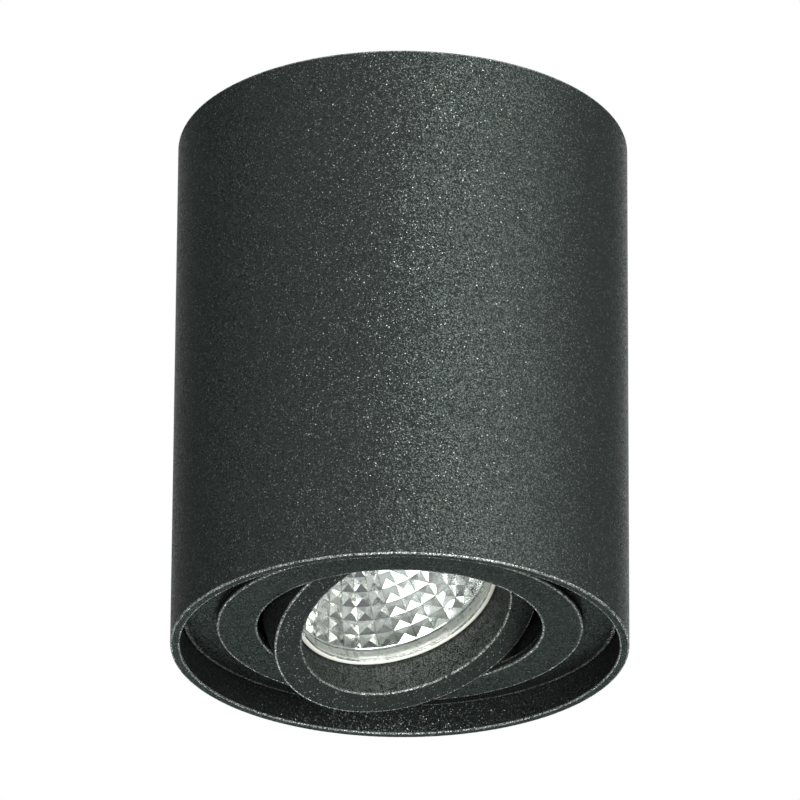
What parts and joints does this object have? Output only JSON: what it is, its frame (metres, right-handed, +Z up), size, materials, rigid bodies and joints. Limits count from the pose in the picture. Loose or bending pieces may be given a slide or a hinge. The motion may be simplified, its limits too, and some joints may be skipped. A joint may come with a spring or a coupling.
{
  "type": "surface mounted ceiling spotlight",
  "caption": "Surface mounted ceiling spotlight: a plain round tube with a recessed ring that swivels and a lamp ring that tilts round a twist-lock reflector lamp.",
  "frame": {"origin": "centre of the face that lies against the ceiling", "axes": "+Z up into the ceiling, along the tube's axis; +X along the line of the two ceiling screw slots; the picture is taken from -Y and below"},
  "size_m": [0.108, 0.108, 0.1362],
  "materials": {
    "anthracite_coat": "anthracite textured powder coat with fine metallic sparkle",
    "galvanised_steel": "zinc plated",
    "zinc_screws": "zinc plated",
    "spring_steel": "polished",
    "black_rubber": "matt",
    "terminal_plastic": "matt",
    "clamp_brass": "plain",
    "clamp_screw_steel": "zinc plated",
    "slip_nylon": "satin",
    "aluminised_reflector": "faceted aluminised glass",
    "cover_glass": "clear",
    "quartz": "clear",
    "white_ceramic": "unglazed",
    "nickel_contact": "nickel plated",
    "insulating_board": "matt"
  },
  "bodies": {
    "housing": {"tube_housing": "anthracite_coat", "ceiling_bracket": "galvanised_steel", "side_screws": "zinc_screws", "cable_grommet": "black_rubber", "terminal_block": "terminal_plastic", "terminal_clamps": "clamp_brass", "terminal_screws": "clamp_screw_steel", "block_screws": "zinc_screws", "earth_washer": "galvanised_steel", "earth_screw": "zinc_screws", "frame_ring": "anthracite_coat", "spring_clips": "spring_steel", "clip_rivets": "zinc_screws", "frame_stop_pin": "zinc_screws", "friction_washer": "slip_nylon"},
    "swivel": {"swivel_ring": "anthracite_coat", "snap_ring": "spring_steel", "swivel_stop_pin": "zinc_screws"},
    "lamp": {"lamp_ring": "anthracite_coat", "pivot_pins": "zinc_screws", "pivot_washers": "slip_nylon", "lamp_reflector": "aluminised_reflector", "lamp_glass": "cover_glass", "lamp_capsule": "quartz", "lamp_base": "white_ceramic", "lamp_contacts": "nickel_contact", "lampholder": "white_ceramic", "lampholder_cover": "insulating_board", "holder_contacts": "clamp_brass", "lamp_bridge": "galvanised_steel", "bridge_screws": "zinc_screws", "holder_screws": "zinc_screws"}
  },
  "joints": [
    {"name": "swivel_turn", "type": "hinge", "parent": "housing", "child": "swivel", "pos_m": [0, 0, -0.119], "axis": [0, 0, 1], "range_deg": [-175, 175]},
    {"name": "lamp_tilt", "type": "hinge", "parent": "swivel", "child": "lamp", "pos_m": [0, 0, -0.119], "axis": [0.6947, 0.7193, 0], "range_deg": [-7.5, 52.5]}
  ]
}
